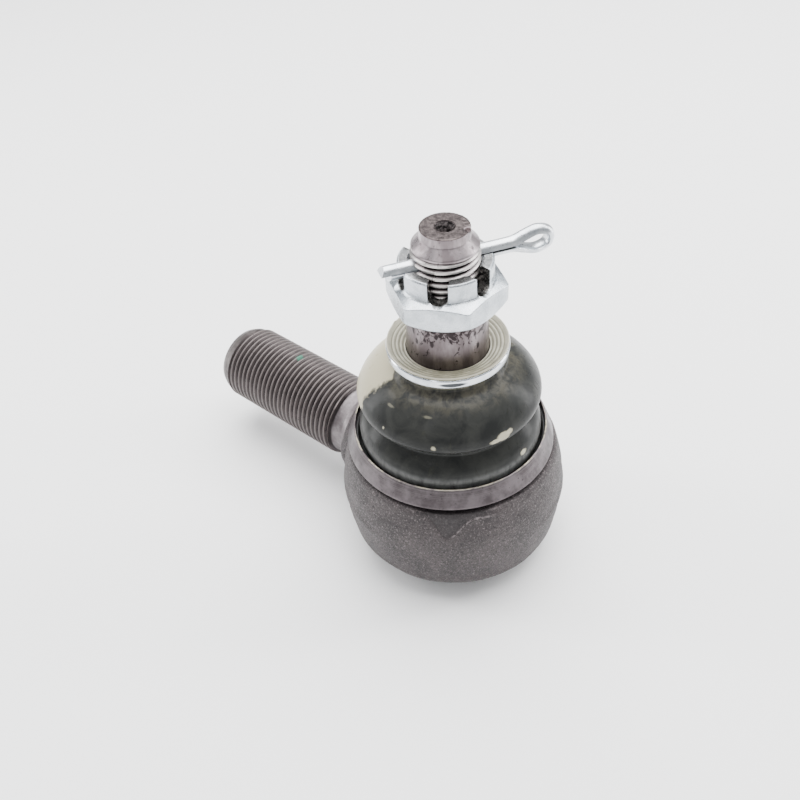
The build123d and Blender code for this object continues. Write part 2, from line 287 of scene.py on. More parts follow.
class Finish:
    """Principled material whose inputs are worked out from the position on the piece, in millimetres."""

    def __init__(self, name, position=None, **inputs):
        self.material = bpy.data.materials.new(name)
        self.material.use_nodes = True
        self.tree = self.material.node_tree
        self.surface = self.tree.nodes["Principled BSDF"]
        named = {socket.name.lower().replace(" ", "_"): socket for socket in self.surface.inputs}
        for key, value in inputs.items():
            named[key].default_value = value
        if position:
            source = self.node("ShaderNodeAttribute", attribute_name=position).outputs["Vector"]
        else:
            source = self.node("ShaderNodeTexCoord").outputs["Object"]
        self.place = self.vector("MULTIPLY", self.vector("SUBTRACT", source, BALL_CENTRE), (1 / MM,) * 3)

    def node(self, kind, **settings):
        made = self.tree.nodes.new(kind)
        for key, value in settings.items():
            setattr(made, key, value)
        return made

    def feed(self, socket, value):
        """Link a node's output to a socket, or set the socket to a plain value."""
        if isinstance(value, bpy.types.NodeSocket):
            self.tree.links.new(value, socket)
        elif value is not None:
            socket.default_value = value

    def vector(self, operation, *values):
        made = self.node("ShaderNodeVectorMath", operation=operation)
        for socket, value in zip(made.inputs, values):
            self.feed(socket, value)
        return made.outputs["Value" if operation in ("LENGTH", "DOT_PRODUCT") else "Vector"]

    def math(self, operation, *values):
        made = self.node("ShaderNodeMath", operation=operation)
        for socket, value in zip(made.inputs, values):
            self.feed(socket, value)
        return made.outputs[0]

    def axis(self, letter):
        made = self.node("ShaderNodeSeparateXYZ")
        self.feed(made.inputs[0], self.place)
        return made.outputs[letter]

    def radius(self, across=(1, 1, 0)):
        """Distance from the stud's axis, or from the axis whose share in across is nought."""
        return self.vector("LENGTH", self.vector("MULTIPLY", self.place, across))

    def degrees(self, first, second):
        """Angle about an axis, from the second letter's direction towards the first's."""
        turn = self.math("ARCTAN2", self.axis(first), self.axis(second))
        return self.math("MULTIPLY", turn, 180 / math.pi)

    def towards(self, azimuth):
        """Distance from the ball's centre along an azimuth."""
        return self.vector("DOT_PRODUCT", self.place, tuple(polar(azimuth, 1, 0)))

    def noise(self, per_mm, detail=3.0, roughness=0.55, source=None, stretch=(1, 1, 1), distortion=0.0):
        """Noise from 0 to 1 with the given number of grains per millimetre."""
        made = self.node("ShaderNodeTexNoise")
        scaled = self.vector("MULTIPLY", source or self.place, stretch)
        self.feed(made.inputs["Vector"], scaled)
        for name, value in (("Scale", per_mm), ("Detail", detail), ("Roughness", roughness),
                            ("Distortion", distortion)):
            made.inputs[name].default_value = value
        return made.outputs[0]

    def step(self, value, low, high, to_low=0.0, to_high=1.0):
        """Smooth ramp from to_low at low to to_high at high."""
        made = self.node("ShaderNodeMapRange", interpolation_type="SMOOTHSTEP")
        for socket, number in zip(made.inputs, (value, low, high, to_low, to_high)):
            self.feed(socket, number)
        return made.outputs[0]

    def both(self, first, second):
        """Where two masks overlap, or one mask at a lower strength."""
        return self.math("MULTIPLY", first, second)

    def between(self, value, rise, fall):
        """Mask that comes in over the rise pair and goes out over the fall pair."""
        return self.both(self.step(value, *rise), self.step(value, *fall))

    def mix(self, share, first, second):
        """Colour between two, either of which may be an (r, g, b) or a socket."""
        made = self.node("ShaderNodeMix", data_type="RGBA")
        colours = [(*c, 1) if isinstance(c, tuple) else c for c in (first, second)]
        for socket, value in zip((made.inputs[0], made.inputs[6], made.inputs[7]), (share, *colours)):
            self.feed(socket, value)
        return made.outputs[2]

    def spot(self, centre, size, soft=0.35, wobble=0.0, grain=0.8, stretch=(1, 1, 1)):
        """Mask of a patch round a point in millimetres, with an uneven edge."""
        offset = self.vector("MULTIPLY", self.vector("SUBTRACT", self.place, tuple(centre)), stretch)
        distance = self.vector("LENGTH", offset)
        if wobble:
            shift = self.math("MULTIPLY", self.math("SUBTRACT", self.noise(grain), 0.5), wobble * 2)
            distance = self.math("ADD", distance, shift)
        return self.step(distance, size - soft, size + soft, 1.0, 0.0)

    def colour(self, value):
        self.feed(self.surface.inputs["Base Color"], value)

    def rough(self, value):
        self.feed(self.surface.inputs["Roughness"], value)

    def bump(self, height, distance_mm, strength=1.0):
        """Relief whose height input from 0 to 1 stands for the given depth."""
        made = self.node("ShaderNodeBump")
        made.inputs["Strength"].default_value = strength
        made.inputs["Distance"].default_value = distance_mm * MM
        self.feed(made.inputs["Height"], height)
        self.feed(self.surface.inputs["Normal"], made.outputs[0])


# The die's scar on the front of the cup: a crease that climbs from the low height to the high one on both
# sides. Each pair of angles says where it climbs.
SCAR_LOW = 6.6
SCAR_HIGH = 11.6
SCAR_RIGHT = (124.5, 140.0)
SCAR_LEFT = (126.5, 116.0)


def scarred(look, base):
    """Colour with the scar on it: darker above the crease and scuffed bright along it."""
    turn = look.degrees("Y", "X")
    right = look.step(turn, *SCAR_RIGHT, SCAR_LOW, SCAR_HIGH)
    left = look.step(turn, *SCAR_LEFT, SCAR_LOW, SCAR_HIGH)
    over = look.math("SUBTRACT", look.axis("Z"), look.math("MAXIMUM", right, left))
    near = look.between(turn, (112.0, 120.0), (150.0, 136.0))
    above = look.both(look.step(over, -0.2, 0.3), near)
    base = look.mix(look.both(above, 0.55), base, (0.018, 0.016, 0.017))
    crease = look.step(look.math("ABSOLUTE", over), 0.26, 0.06)
    edge = look.both(crease, look.between(turn, (126.0, 130.0), (154.0, 146.0)))
    scuffs = look.both(edge, look.step(look.noise(1.4, 4, 0.7), 0.42, 0.56))
    return look.mix(look.both(scuffs, 0.6), base, (0.24, 0.21, 0.21))


def groove_shade(look):
    """Mask of the painted shade that stands for a short groove at the root of the shank; the groove is not in
    the mesh.
    """
    width = look.between(look.axis("X"), (24.2, 24.5), (25.3, 25.0))
    return look.both(width, look.between(look.degrees("Z", "Y"), (38.0, 44.0), (72.0, 66.0)))


def forged_finish():
    """Shot-blasted forging: a fine speckle of dark pits and bright grains over uneven brown-grey."""
    look = Finish("forged_steel", metallic=0.3, roughness=0.6)
    grains = look.noise(2.4, 4, 0.75)
    pits = look.noise(1.5, 5, 0.75)
    cloud = look.noise(0.12, 3, 0.6)
    base = look.mix(look.step(cloud, 0.3, 0.7), (0.026, 0.021, 0.022), (0.052, 0.042, 0.043))
    base = look.mix(look.step(grains, 0.52, 0.74), base, (0.19, 0.16, 0.162))
    scale = look.step(look.noise(4.5, 3, 0.8), 0.60, 0.72)
    base = look.mix(look.both(scale, 0.6), base, (0.30, 0.26, 0.262))
    base = look.mix(look.step(pits, 0.47, 0.34), base, (0.006, 0.005, 0.005))
    base = scarred(look, base)
    # Painted shade: a small dark spot stands for a dent that the mesh does not have.
    dent_shade = look.spot(polar(129, 25.4, -3.8), 0.35, 0.15, 0.2, 1.5, (0.6, 0.6, 1))
    base = look.mix(look.both(dent_shade, 0.8), base, (0.012, 0.008, 0.008))
    # Painted shade: a dark arc for the groove at the root of the shank.
    look.colour(look.mix(look.both(groove_shade(look), 0.9), base, (0.008, 0.006, 0.007)))
    look.rough(look.step(grains, 0.3, 0.8, 0.68, 0.42))
    look.bump(look.math("ADD", grains, look.math("MULTIPLY", pits, 1.2)), 0.13, 1.0)
    return look.material


def turned_finish():
    """Satin machined band with fine tool lines round the stud's axis, a painted highlight along its burred
    top edge and painted shade inside its pocket.
    """
    look = Finish("turned_steel", metallic=0.8, roughness=0.42)
    radius = look.radius()
    height = look.axis("Z")
    lines = look.node("ShaderNodeCombineXYZ")
    look.feed(lines.inputs[0], radius)
    look.feed(lines.inputs[2], height)
    tool = look.noise(4.0, 3, 0.6, lines.outputs[0])
    cloud = look.noise(0.22, 4, 0.65)
    speck = look.noise(1.4, 4, 0.7)
    base = look.mix(look.step(cloud, 0.35, 0.68), (0.057, 0.047, 0.050), (0.115, 0.099, 0.105))
    base = look.mix(look.both(look.step(tool, 0.45, 0.62), 0.4), base, (0.14, 0.122, 0.128))
    base = look.mix(look.step(speck, 0.40, 0.28), base, (0.028, 0.024, 0.026))
    # Painted highlight: a pale line along the burred top edge of the rim.
    edge = look.both(look.step(height, 18.30, 18.44), look.step(look.noise(0.35, 3, 0.6), 0.38, 0.62))
    base = look.mix(look.both(edge, 0.8), base, (0.34, 0.31, 0.24))
    # Painted shade: the inner wall of the rim's pocket made dark.
    pocket_shade = look.both(look.step(radius, 21.64, 21.60), look.step(height, 11.0, 12.0))
    base = look.mix(pocket_shade, base, (0.020, 0.017, 0.017))
    look.colour(base)
    look.rough(look.step(cloud, 0.3, 0.7, 0.50, 0.34))
    look.bump(look.math("ADD", tool, look.math("MULTIPLY", speck, 0.6)), 0.03, 0.8)
    return look.material


def shank_finish():
    """Rolled thread with a painted highlight along its crests, painted shade in its roots, painted light on
    its underside, a lighter neck and a dab of green paint.
    """
    look = Finish("shank_thread", metallic=0.6, roughness=0.42)
    radius = look.radius((0, 1, 1))
    cloud = look.noise(0.3, 4, 0.65)
    speck = look.noise(1.1, 5, 0.75)
    fine = look.noise(3.0, 3, 0.6)
    flank = look.mix(look.step(cloud, 0.3, 0.7), (0.045, 0.037, 0.037), (0.082, 0.068, 0.068))
    # Painted highlight: the crests made bright.
    crest_highlight = look.between(radius, (9.84, 9.94), (9.999, 9.975))
    base = look.mix(look.step(radius, 9.86, 9.96), flank, (0.082, 0.068, 0.067))
    base = look.mix(crest_highlight, base, (0.175, 0.15, 0.143))
    # Painted shade: the roots made dark.
    base = look.mix(look.both(look.step(radius, 9.5, 9.15), 0.8), base, (0.018, 0.015, 0.016))
    base = look.mix(look.step(speck, 0.38, 0.31), base, (0.010, 0.008, 0.009))
    point = look.mix(look.step(cloud, 0.35, 0.65), (0.065, 0.055, 0.054), (0.105, 0.092, 0.088))
    base = look.mix(look.step(look.axis("X"), 69.3, 69.8), base, point)
    # Painted light: the side of the shank facing the floor made lighter.
    underside_light = look.both(look.step(look.axis("Z"), -1.0, -7.5), 0.6)
    base = look.mix(underside_light, base, (0.098, 0.081, 0.078))
    # The smooth neck is lighter than the thread, its tone raised further as a painted highlight.
    neck = look.mix(look.step(cloud, 0.35, 0.65), (0.11, 0.094, 0.098), (0.19, 0.17, 0.176))
    base = look.mix(look.step(look.axis("X"), 31.0, 31.6), neck, base)
    dab = math.radians(99)
    where = (51.2, SHANK_RADIUS * math.cos(dab), SHANK_RADIUS * math.sin(dab))
    green = look.spot(where, 1.1, 0.3, 0.5)
    base = look.mix(look.both(green, 0.7), base, (0.03, 0.17, 0.11))
    look.colour(base)
    look.rough(look.step(fine, 0.3, 0.75, 0.52, 0.34))
    look.bump(fine, 0.03, 0.7)
    return look.material


TAPER_SCUFFS = [(107, 50.1), (113, 48.8), (106, 46.8), (82, 46.3), (170, 48.2), (174, 45.0)]
STUD_NICK_AZIMUTH = -157


def scuffed(look, base, height):
    """Colour of the taper with its cloud of dark scuffs and the six larger ones that face the camera."""
    scuffs = look.noise(0.55, 6, 0.75, stretch=(1, 1, 0.75), distortion=0.8)
    worn = look.step(height, 43.0, 52.0, 0.385, 0.56)
    dark = look.step(look.math("SUBTRACT", scuffs, worn), 0.0, -0.04)
    dark = look.both(dark, look.step(height, 53.0, 52.2))
    base = look.mix(look.both(dark, 0.92), base, (0.013, 0.009, 0.010))
    for azimuth, level in TAPER_SCUFFS:
        scuff = look.spot(polar(azimuth, 8.55, level), 0.42, 0.15, 0.45, 1.2, (1, 1, 0.6))
        base = look.mix(look.both(scuff, 0.9), base, (0.014, 0.010, 0.011))
    return base


def sawn_end(look, base, end, height, radius):
    """Colour with the rough end face, its centre drilling and the nick in its edge, which is painted dark as
    shade.
    """
    coarse = look.step(look.noise(1.3, 5, 0.75), 0.36, 0.66)
    face = look.mix(coarse, (0.022, 0.017, 0.017), (0.088, 0.072, 0.070))
    patches = look.step(look.noise(1.1, 4, 0.7), 0.45, 0.6)
    hole = look.mix(patches, (0.012, 0.010, 0.010), (0.16, 0.14, 0.14))
    drilled = look.step(radius, 2.15, 1.95)
    inside = look.both(drilled, look.step(height, 65.5, 65.6))
    base = look.mix(look.math("MAXIMUM", end, inside), base, look.mix(drilled, face, hole))
    # Painted shade: the nick made dark.
    nick = look.spot(polar(STUD_NICK_AZIMUTH, 4.6, 69.3), 0.8, 0.15, 0.3, 1.5)
    return look.mix(look.both(nick, 0.9), base, (0.02, 0.012, 0.012))


def stud_finish():
    """Ground taper with dark scuffs, a thread with a painted highlight on its crests and painted shade in its
    roots, and a sawn end.
    """
    look = Finish("stud_steel", metallic=0.9, roughness=0.34)
    height = look.axis("Z")
    radius = look.radius()
    cloud = look.noise(0.35, 4, 0.6, stretch=(1, 1, 0.3))
    fine = look.noise(4.0, 3, 0.6, stretch=(1, 1, 0.5))
    base = look.mix(look.step(cloud, 0.32, 0.70), (0.115, 0.094, 0.098), (0.24, 0.208, 0.214))
    base = scuffed(look, base, height)
    point = look.mix(look.step(cloud, 0.35, 0.65), (0.19, 0.16, 0.167), (0.36, 0.318, 0.328))
    base = look.mix(look.step(height, 65.4, 65.7), base, point)
    below_point = look.step(height, 65.4, 65.0)
    # Painted highlight: the thread's crests made bright.
    crest_highlight = look.both(look.step(radius, 6.55, 6.78), look.step(height, 52.2, 52.6))
    base = look.mix(look.both(crest_highlight, below_point), base, (0.54, 0.51, 0.495))
    spots = look.both(look.step(look.noise(0.7, 5, 0.75), 0.42, 0.34), look.step(height, 64.5, 65.5))
    base = look.mix(look.both(spots, 0.8), base, (0.03, 0.022, 0.025))
    # Painted shade: the thread's roots made dark.
    root = look.both(look.both(look.step(radius, 6.60, 6.30), below_point), look.step(height, 52.0, 52.4))
    base = look.mix(root, base, (0.014, 0.012, 0.013))
    end = look.step(height, 69.5, 69.65)
    look.colour(sawn_end(look, base, end, height, radius))
    look.rough(look.step(cloud, 0.3, 0.75, 0.42, 0.26))
    look.bump(look.math("ADD", fine, look.both(end, look.noise(1.6, 4, 0.7))), 0.05, 0.7)
    return look.material


def pin_finish():
    """Zinc-plated wire with painted shade as a dark line where its two legs meet."""
    look = Finish("zinc_wire", metallic=0.95, roughness=0.24)
    cloud = look.noise(0.25, 4, 0.6)
    marks = look.noise(1.3, 6, 0.72, distortion=0.4)
    base = look.mix(look.step(cloud, 0.3, 0.7), (0.50, 0.53, 0.56), (0.78, 0.80, 0.825))
    base = look.mix(look.both(look.step(marks, 0.36, 0.27), 0.7), base, (0.16, 0.175, 0.19))
    from_slit = look.math("ABSOLUTE", look.math("SUBTRACT", look.axis("Z"), PIN_HEIGHT))
    legs = look.between(look.towards(PIN_AZIMUTH), (5.0, 6.0), (16.0, 14.5))
    # Painted shade: a dark line along the gap between the legs.
    slit_shade = look.both(look.step(from_slit, 0.34, 0.22), legs)
    base = look.mix(look.both(slit_shade, 0.9), base, (0.02, 0.02, 0.022))
    look.colour(base)
    look.rough(look.step(marks, 0.3, 0.7, 0.36, 0.25))
    look.bump(marks, 0.035, 0.6)
    return look.material


def ring_finish():
    """Polished plate with a painted dark reflection along the middle of its front."""
    look = Finish("ring_plate", metallic=0.95, roughness=0.16)
    cloud = look.noise(0.3, 4, 0.6)
    base = look.mix(look.step(cloud, 0.3, 0.7), (0.46, 0.49, 0.525), (0.70, 0.73, 0.765))
    # Painted reflection: a dark streak across the front of the band.
    dark_reflection = look.spot(polar(VIEW_AZIMUTH, 13.2, 40.4), 0.5, 0.12, stretch=(0.18, 0.18, 1))
    base = look.mix(look.both(dark_reflection, 0.95), base, (0.012, 0.013, 0.015))
    look.colour(base)
    look.bump(cloud, 0.03, 0.5)
    return look.material


def nut_finish():
    """Zinc plate, with painted shade and patches of painted light in the slots and the bore, and a dull grey
    on the crown's top.
    """
    look = Finish("zinc_plate", metallic=0.9, roughness=0.26)
    cloud = look.noise(0.25, 4, 0.6)
    marks = look.noise(1.3, 6, 0.72, distortion=0.4)
    base = look.mix(look.step(cloud, 0.3, 0.7), (0.38, 0.415, 0.445), (0.58, 0.615, 0.65))
    base = look.mix(look.both(look.step(marks, 0.38, 0.29), 0.7), base, (0.13, 0.14, 0.15))
    radius = look.radius()
    height = look.axis("Z")
    turn = look.math("ARCTAN2", look.axis("Y"), look.axis("X"))
    turn = look.math("SUBTRACT", turn, math.radians(PIN_AZIMUTH))
    from_slot = look.math("PINGPONG", turn, math.radians(30))
    across = look.math("MULTIPLY", radius, look.math("SINE", from_slot))
    in_slot = look.step(across, NUT_SLOT_HALF + 0.10, NUT_SLOT_HALF + 0.02)
    in_slot = look.both(in_slot, look.step(radius, 10.0, 9.6))
    in_bore = look.step(radius, 7.35, 7.2)
    # Painted shade in the slots and the bore, broken by patches of painted light.
    low = look.step(height, NUT_TOP + 0.02, NUT_TOP - 0.15)
    recess_light_patches = look.step(look.noise(0.8, 5, 0.75), 0.40, 0.60)
    recess_shade = look.mix(recess_light_patches, (0.036, 0.036, 0.035), (0.27, 0.265, 0.255))
    base = look.mix(look.both(look.math("MAXIMUM", in_slot, in_bore), low), base, recess_shade)
    top = look.both(look.step(height, NUT_TOP - 0.15, NUT_TOP - 0.05), look.step(radius, 9.5, 9.1))
    dull = look.mix(look.step(marks, 0.4, 0.6), (0.06, 0.058, 0.055), (0.17, 0.165, 0.16))
    base = look.mix(look.both(top, 0.85), base, dull)
    look.colour(base)
    look.rough(look.step(marks, 0.3, 0.7, 0.36, 0.22))
    look.bump(marks, 0.035, 0.6)
    return look.material


# Concentric ribs on top of the boot's lip, from the outermost radius inwards
LIP_RIBS = 4
LIP_RIB_START = 12.35
LIP_RIB_WIDTH = 3.3
LIP_RIB_DROP = 0.95

# Bubbles in the grease: where, size, stretch and strength
BOOT_BUBBLES = [
    (polar(156.5, 20.35, 28.9), 0.72, (0.55, 0.55, 1.3), 0.9),
    (polar(162.0, 20.3, 29.3), 0.95, (0.6, 0.6, 0.9), 0.9),
    (polar(166.5, 20.25, 29.8), 0.6, (0.8, 0.8, 1.0), 0.9),
    (polar(119, 20.35, 29.2), 0.40, (0.8, 1, 0.7), 0.85),
    (polar(179.5, 20.3, 20.4), 0.72, (0.75, 0.75, 1.25), 0.9),
    (polar(113, 16.9, 34.5), 0.36, (0.40, 0.40, 2.0), 0.2),
    (polar(83, 17.2, 34.2), 0.40, (0.45, 0.45, 2.0), 0.2),
    (polar(85, 20.1, 30.2), 0.20, (1, 1, 0.8), 0.8),
]


def greased(look, height, smear):
    """Colour of the grease behind the bellows: smeared, paler in the lower lobe and thin near the neck."""
    cloud = look.noise(0.16, 4, 0.6, distortion=0.8)
    base = look.mix(look.step(cloud, 0.3, 0.72), (0.0150, 0.0158, 0.0155), (0.031, 0.0318, 0.0295))
    base = look.mix(look.both(look.step(smear, 0.58, 0.75), 0.5), base, (0.034, 0.034, 0.028))
    band = look.between(height, (16.2, 17.6), (20.6, 18.8))
    band = look.both(band, look.step(smear, 0.15, 0.60))
    base = look.mix(look.both(band, 0.9), base, (0.16, 0.162, 0.158))
    thin = look.both(look.step(height, 33.8, 36.6), look.step(smear, 0.35, 0.65))
    return look.mix(look.both(thin, 0.55), base, (0.10, 0.092, 0.070))


def gaps(look, base, height):
    """Colour with the large ragged gap at the boot's upper left and the small bubbles."""
    ragged = look.math("MULTIPLY", look.math("SUBTRACT", look.noise(0.35, 4, 0.6), 0.5), 18.0)
    edge = look.math("ADD", look.degrees("Y", "X"), ragged)
    edge = look.math("SUBTRACT", edge, look.step(height, 32.0, 36.0, 0.0, 3.0))
    empty = look.both(look.between(edge, (62.5, 58.5), (-20.0, -8.0)), look.step(height, 26.2, 27.4))
    base = look.mix(look.both(empty, 0.92), base, (0.42, 0.385, 0.28))
    for where, size, stretch, strength in BOOT_BUBBLES:
        bubble = look.spot(where, size, 0.18, 0.22, 1.2, stretch)
        base = look.mix(look.both(bubble, strength), base, (0.46, 0.43, 0.32))
    return base


def lip_colour(look, height):
    """Colour of the clear lip: painted light on its far side, painted shade between its ribs and a painted
    highlight along its outer edge.
    """
    clear = look.step(look.noise(0.5, 3, 0.5), 0.35, 0.65)
    base = look.mix(clear, (0.22, 0.207, 0.147), (0.34, 0.320, 0.235))
    # Painted light: the far side of the lip made paler.
    back = look.step(look.towards(VIEW_AZIMUTH), 11.0, 3.0)
    base = look.mix(look.both(back, 0.4), base, (0.68, 0.66, 0.56))
    inward = look.math("SUBTRACT", LIP_RIB_START, look.radius())
    phase = look.math("MULTIPLY", inward, 2 * math.pi * LIP_RIBS / LIP_RIB_WIDTH)
    # Painted shade: the hollows between the ribs made dark.
    rib_shade = look.step(look.math("COSINE", phase), -0.1, -0.9)
    base = look.mix(look.both(rib_shade, 0.6), base, (0.085, 0.080, 0.055))
    # Painted highlight: a bright line along the lip's outer edge.
    return look.mix(look.both(look.step(height, 41.7, 41.9), 0.7), base, (0.50, 0.475, 0.385))


def boot_finish():
    """Translucent polyurethane over dark grease, with pale gaps and bubbles where the grease is missing."""
    look = Finish("boot_rubber", position="rest_place", metallic=0.0, roughness=0.4, ior=1.18,
                  coat_weight=0.04, coat_roughness=0.12)
    height = look.axis("Z")
    smear = look.noise(0.5, 4, 0.6, stretch=(1, 1, 0.35), distortion=0.5)
    base = gaps(look, greased(look, height, smear), height)
    look.colour(look.mix(look.step(height, 38.2, 39.2), base, lip_colour(look, height)))
    look.rough(look.step(smear, 0.3, 0.7, 0.38, 0.26))
    look.bump(look.noise(0.8, 3, 0.5), 0.03, 0.5)
    return look.material


def plain_finish(name, low, high, grain, **inputs):
    """Finish of a small or inner part: two close tones in a fine cloud, with a slight relief."""
    look = Finish(name, **inputs)
    cloud = look.noise(grain, 4, 0.6)
    look.colour(look.mix(look.step(cloud, 0.3, 0.7), low, high))
    look.bump(cloud, 0.03, 0.6)
    return look.material


# ------------ housing

FORGING_OFFSET = 0.5  # how far the cup's middle lies behind the ball, seen from the shank


def forging():
    """Drop-forged cup and the root of its shank, fused, smoothed and given the rough skin of a forging."""
    bm = bmesh.new()
    corner = [(15.8, -12.5)] + arc((20.8, -8.2), 4.3, -90, 0, 10)
    wall = smooth_curve([(25.1, -8.2), (25.75, -4.0), (26.05, 1.5), (25.75, 6.5), (24.4, 12.2)], 8)
    shoulder = rounded([(24.4, 12.2, 0), (23.6, 13.1, 0.6), (21.8, 13.1, 0)])
    add_lathe(bm, corner[:-1] + wall + shoulder[1:] + [(15.8, 13.1)], 128, closed=True)
    bm.transform(Matrix.Translation((-FORGING_OFFSET, 0, 0)))
    root = bmesh.new()
    flare = smooth_curve([(12.4, 18.5), (13.0, 21.5), (12.7, 24.0), (11.0, 26.0), (9.7, 27.1)], 4)
    add_lathe(root, [(0, 18.5)] + flare + [(0, 27.1)], 96)
    root.transform(ALONG_X)
    join_bmesh(bm, root)
    piece = mesh_object("housing_forging", bm)
    remesh = piece.modifiers.new("fuse", "REMESH")
    remesh.mode = "VOXEL"
    remesh.voxel_size = 0.42
    smooth = piece.modifiers.new("soften", "SMOOTH")
    smooth.factor = 0.5
    smooth.iterations = 6
    apply_modifiers(piece)
    moved = [vertex.co + vertex.normal * forging_relief(vertex.co) for vertex in piece.data.vertices]
    piece.data.vertices.foreach_set("co", [number for point in moved for number in point])
    piece.data.transform(TO_FRAME)
    dress(piece, HOUSING, forged_finish(), ["housing"], 180)


def forging_relief(point):
    """Height of the forging's surface above its smooth shape, in millimetres."""
    x, y, z = point
    if math.hypot(x, y) < 21.5 and x < 21:  # under the rim, or under the cup
        return 0.0
    grain = noise.noise(point * 1.35) * 0.035 + noise.noise(point * 0.7) * 0.03
    swell = noise.noise(point * 0.14 + Vector((3, 7, 1))) * 0.12
    azimuth = math.degrees(math.atan2(y, x))
    parting_z = 0.5 + 0.8 * math.sin(math.radians(azimuth * 2))
    parting = 0.40 * math.exp(-((z - parting_z) / 1.5) ** 2)
    from_view = abs((azimuth - VIEW_AZIMUTH + 180) % 360 - 180)
    parting *= smoothstep(35, 60, from_view)  # the photo shows no parting line
    climb = max(smoothstep(*SCAR_RIGHT, azimuth), smoothstep(*SCAR_LEFT, azimuth))
    crease = SCAR_LOW + (SCAR_HIGH - SCAR_LOW) * climb
    above = smoothstep(-0.3, 0.3, z - crease) * smoothstep(110, 118, azimuth) * smoothstep(156, 142, azimuth)
    ridge = math.exp(-((z - crease) / 0.4) ** 2)
    ridge *= smoothstep(125, 129, azimuth) * smoothstep(156, 146, azimuth)
    sunk = 0.22  # keeps the whole skin inside the CAD part's box
    return grain + swell - sunk + parting - 0.28 * above + 0.16 * ridge


def rim():
    """Turned collar round the boot's foot, its thin edge slightly burred by the tool."""
    corners = [(15.9, 12.2, 0), (22.6, 12.2, 0), (22.75, 13.5, 0.3), (23.68, 14.1, 0.22), (22.0, 18.4, 0.12),
               (21.66, 18.46, 0.05), (21.6, 18.2, 0.1), (21.6, 17.0, 0.1), (22.0, 16.9, 0.1),
               (22.0, 15.1, 0.1), (21.6, 15.0, 0.1), (21.6, 13.15, 0.2), (12.35, 13.15, 0.2),
               (11.3, 9.1, 0.2), (15.9, 9.1, 0)]
    outline = resampled(rounded(corners, 3, closed=True), 0.6)

    def burr(radius, angle, height):
        """Roughness of the top edge only."""
        if height < 17.9:
            return radius, height
        spot = Vector((math.cos(angle), math.sin(angle), 0)) * 16
        rough = noise.noise(spot) * 0.05 + noise.noise(spot * 3.1) * 0.035
        return radius - 0.02 + min(rough, 0.02), height - abs(rough) * 0.9

    piece = turned("housing_rim", outline, 360, warp=burr)
    dress(piece, HOUSING, turned_finish(), ["housing"], 35)


def shank():
    """M20 thread with a smooth neck and a turned point."""
    low, high = 31.35, 69.45
    bm = bmesh.new()
    add_thread(bm, SHANK_RADIUS, low, high, 8.95, 9.55, 0.55)
    neck = rounded([(0, 22.0, 0), (9.4, 22.0, 0.2), (9.2, 27.0, 0.5), (8.75, 28.4, 1.2), (8.8, 30.6, 0.4),
                    (8.95, low, 0)])
    add_lathe(bm, resampled(neck, 1.2))
    tip = rounded([(9.55, high, 0), (9.35, 70.8, 0.8), (8.6, 72.35, 0.8), (8.0, 72.75, 0.35), (0, 72.75, 0)])
    add_lathe(bm, tip)
    piece = mesh_object("housing_shank", bm, TO_FRAME @ ALONG_X)
    dress(piece, HOUSING, shank_finish(), ["housing"], 50)


def bottom_lip():
    """Turned spigot under the cup, with its lip rolled over the cover."""
    corners = [(15.6, -11.9, 0), (18.6, -11.9, 0), (18.6, -15.4, 0.8), (17.5, -17.2, 1.0), (16.3, -17.5, 0.5),
               (15.2, -17.15, 0.5), (15.1, -16.32, 0.1), (16.6, -16.3, 0.05), (16.6, -14.3, 0.05),
               (15.6, -14.3, 0.1)]
    piece = turned("housing_lip", resampled(rounded(corners, 4, closed=True), 0.8), 180)
    dress(piece, HOUSING, turned_finish(), ["housing"], 35)


def cover():
    """Pressed disc with a shallow dished middle."""
    corners = [(0, -15.7, 0), (5.6, -15.7, 0.6), (6.8, -16.2, 0.6), (16.5, -16.2, 0.2), (16.5, -14.4, 0.2),
               (0, -14.4, 0)]
    piece = turned("cover_disc", rounded(corners), 140, closed=False)
    look = plain_finish("cover_steel", (0.20, 0.19, 0.19), (0.36, 0.34, 0.34), 0.6,
                        metallic=0.8, roughness=0.42)
    dress(piece, HOUSING, look, ["cover_plate"], 35)


# ------------ boot

def boot_lobes():
    """Outside of the bellows from its foot to its neck."""
    return smooth_curve([(20.0, 14.9), (20.5, 17.0), (20.6, 19.2), (19.9, 21.6), (18.4, 23.6), (17.75, 24.7),
                         (18.25, 25.7), (19.4, 26.8), (20.15, 27.7), (20.4, 28.9), (20.05, 30.4),
                         (19.0, 32.2), (17.3, 34.1), (15.2, 35.7), (13.3, 36.7), (12.3, 37.7)], 7)


def boot_outline():
    """Closed outline of the bellows: foot, two lobes, neck, ribbed lip and the inside."""
    lobes = boot_lobes()
    inner = [(r - 1.2, z - 0.25) for r, z in lobes if 15.5 < z < 36.8]
    ribs = []
    steps = LIP_RIBS * 8
    for step in range(steps + 1):
        t = step / steps
        wave = 0.12 * math.cos(2 * math.pi * LIP_RIBS * t)
        ribs.append((LIP_RIB_START - LIP_RIB_WIDTH * t, 41.5 - LIP_RIB_DROP * t ** 1.3 + wave))
    lip = rounded([(12.3, 38.1, 0.2), (12.3, 41.5, 0.1), (13.0, 41.52, 0.12), (13.1, 41.85, 0.2),
                   (12.85, 42.03, 0.15), (12.55, 41.85, 0.2), (LIP_RIB_START, 41.62, 0)], 3)
    hole = rounded([(9.05, 40.65, 0), (9.0, 40.1, 0.2), (9.3, 37.0, 0.3), (10.8, 36.5, 0)], 3)
    foot = rounded([(inner[0][0], 15.3, 0), (18.6, 14.8, 0.2), (17.3, 14.6, 0.2), (17.3, 13.3, 0.2),
                    (21.3, 13.3, 0.2), (21.3, 14.6, 0.2), (20.2, 14.75, 0)], 3)
    return lobes + lip + ribs + hole + inner[::-1] + foot


FLAP_ANGLE = math.radians(11)


